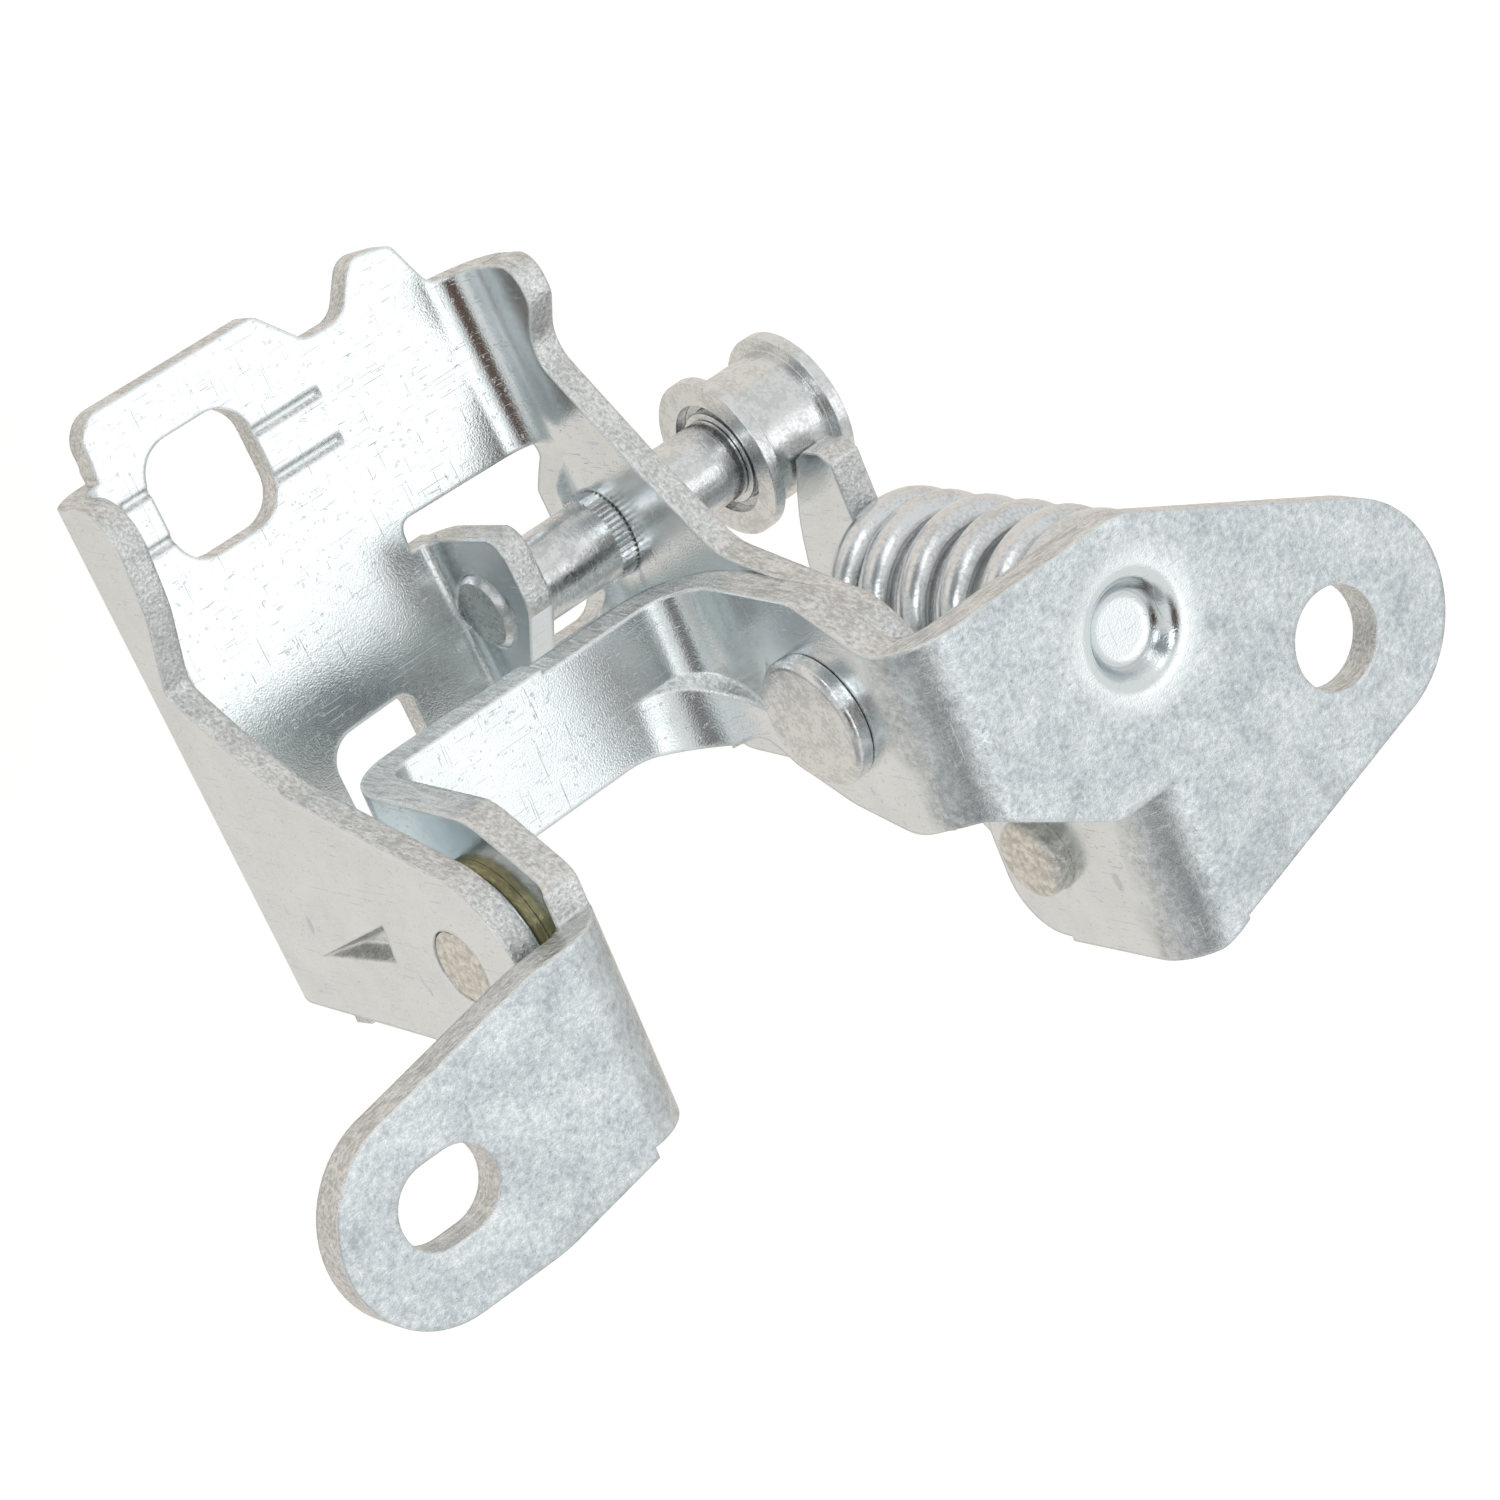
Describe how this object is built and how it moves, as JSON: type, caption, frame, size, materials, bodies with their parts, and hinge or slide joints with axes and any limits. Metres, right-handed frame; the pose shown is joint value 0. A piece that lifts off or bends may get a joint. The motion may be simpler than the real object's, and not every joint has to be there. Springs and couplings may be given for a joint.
{
  "type": "car door hinge",
  "caption": "Zinc plated pressed steel car door hinge with a spring loaded roller check on its upper end.",
  "frame": {"origin": "centre of the round bolt hole on the contact face of the feet", "axes": "+X along the hinge pins from the slotted foot to the round bolt hole, +Y up the picture, +Z out of the contact face of the feet"},
  "size_m": [0.1698, 0.108, 0.0734],
  "materials": {
    "zinc_sheet": "bright zinc plate with spangle and scratches",
    "zinc_turned": "zinc plated turned steel",
    "pin_steel": "dull riveted steel",
    "bush_liner": "olive bearing liner",
    "spring_steel": "bright zinc plated spring wire"
  },
  "bodies": {
    "body": {"body_bracket": "zinc_sheet", "body_bushing_lower": "bush_liner", "body_bushing_upper": "bush_liner", "arm_pin": "pin_steel", "arm_washer_inner": "zinc_turned", "arm_washer_outer": "zinc_turned", "arm_pin_ring": "spring_steel", "check_spring": "spring_steel"},
    "door": {"door_bracket": "zinc_sheet", "hinge_pin_lower": "pin_steel", "hinge_pin_upper": "zinc_turned", "thrust_washer_lower": "bush_liner", "roller_stud": "zinc_turned", "roller_washer": "zinc_turned"},
    "arm": {"check_arm": "zinc_sheet", "arm_bush": "bush_liner"},
    "roller_body": {"roller": "zinc_turned", "roller_bush": "bush_liner"}
  },
  "joints": [
    {"name": "door_swing", "type": "hinge", "parent": "body", "child": "door", "pos_m": [-0.0814, 0.0209, -0.02], "axis": [-1, 0, 0], "range_deg": [0, 65]},
    {"name": "arm_rock", "type": "hinge", "parent": "body", "child": "arm", "pos_m": [-0.0273, -0.0123, -0.0235], "axis": [1, 0, 0], "range_deg": [0, 16.3], "deforming": ["check_spring"]},
    {"name": "roller_spin", "type": "hinge", "parent": "door", "child": "roller_body", "pos_m": [-0.02765, 0.03858, -0.0604], "axis": [1, 0, 0], "continuous": true}
  ],
  "couplings": [
    {"joint": "arm_rock", "follows": "door_swing", "ratio": 0.25}
  ]
}
